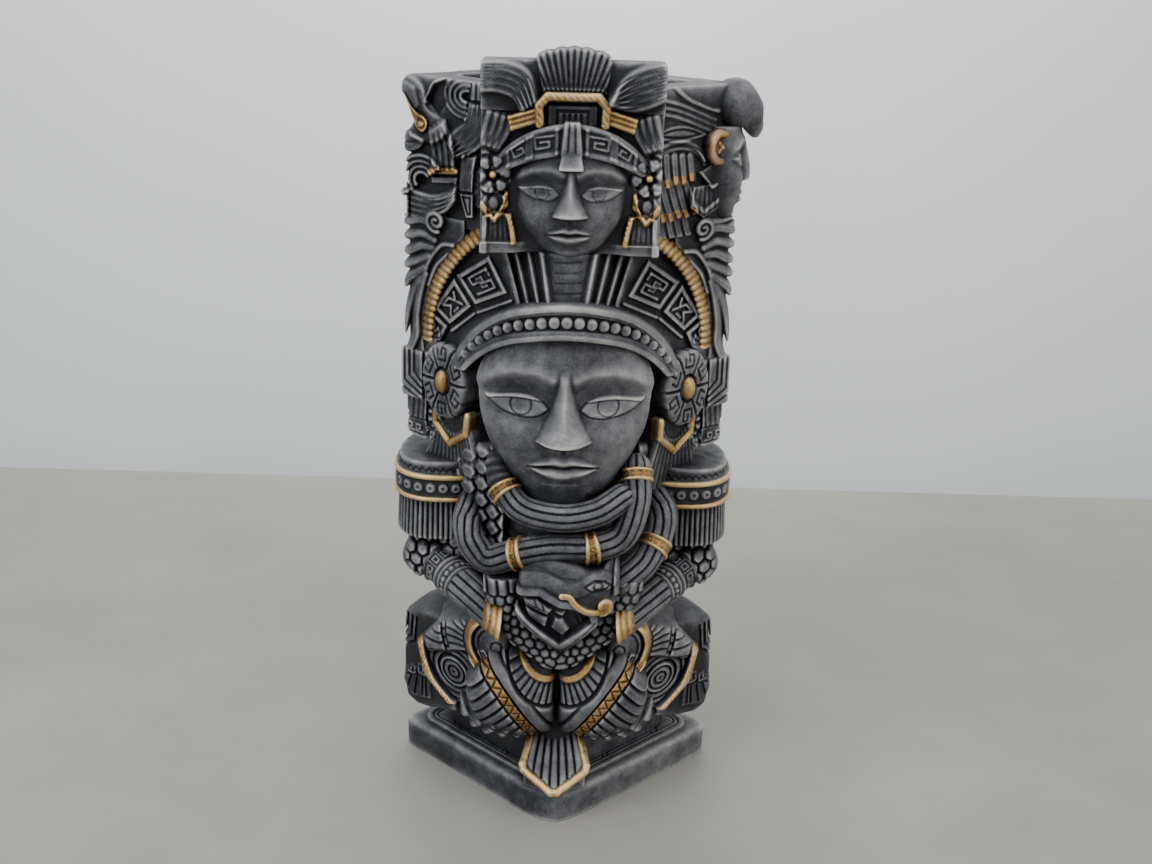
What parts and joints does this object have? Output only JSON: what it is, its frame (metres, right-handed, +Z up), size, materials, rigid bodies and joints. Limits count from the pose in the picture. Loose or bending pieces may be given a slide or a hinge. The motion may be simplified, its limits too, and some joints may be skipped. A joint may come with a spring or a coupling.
{
  "type": "carved totem figure",
  "caption": "Square pillar carved as a seated figure with a feathered headdress, a serpent in its arms and a smaller crowned head above, on a diamond-set plinth.",
  "frame": {"origin": "middle of the plinth's underside", "axes": "+Z up; the figure faces -Y, which is one corner of the square plan; +X is to the right as seen from the front"},
  "size_m": [0.1442, 0.1409, 0.319],
  "materials": {
    "stone": "cast stone composite with a black wash left in the recesses and grey dry-brushed over the high points",
    "gold": "worn bronze-gold paint over the dark cast stone"
  },
  "bodies": {
    "root": {"apron": "stone", "apron_trim": "gold", "arm_fringe_left": "stone", "arm_fringe_right": "stone", "armlet_left": "stone", "armlet_right": "stone", "back_band": "stone", "back_cape": "stone", "back_fan": "stone", "back_skirt": "stone", "bow_left": "stone", "bow_right": "stone", "bow_tails": "stone", "brow_band": "stone", "brow_beads": "stone", "coil_clips": "gold", "coil_lower": "stone", "coil_middle": "stone", "coil_upper": "stone", "crest_band": "stone", "crest_face": "stone", "crest_gold": "gold", "crest_panel": "stone", "crest_plumes": "stone", "eagle_hood": "stone", "ear_disc_left": "stone", "ear_disc_right": "stone", "ear_pendants": "gold", "ear_studs": "gold", "ear_tassels": "stone", "face_mask": "stone", "fan_rays": "stone", "forearm_left": "stone", "forearm_right": "stone", "fret_arch_left": "stone", "fret_arch_right": "stone", "kilt_left": "stone", "kilt_right": "stone", "knee_block_left": "stone", "knee_block_right": "stone", "leg_wrap_left": "stone", "leg_wrap_right": "stone", "neck_loop": "stone", "neck_scales": "stone", "pillar": "stone", "plinth": "stone", "rope_arches": "gold", "serpent_collar": "stone", "serpent_gold": "gold", "serpent_head": "stone", "serpent_profile": "stone", "shoulder_cap_left": "stone", "shoulder_cap_right": "stone", "side_plume_left": "stone", "side_plume_right": "stone", "torso": "stone", "warrior_discs": "gold", "warrior_face": "stone", "wrist_cuffs": "gold"}
  },
  "joints": []
}
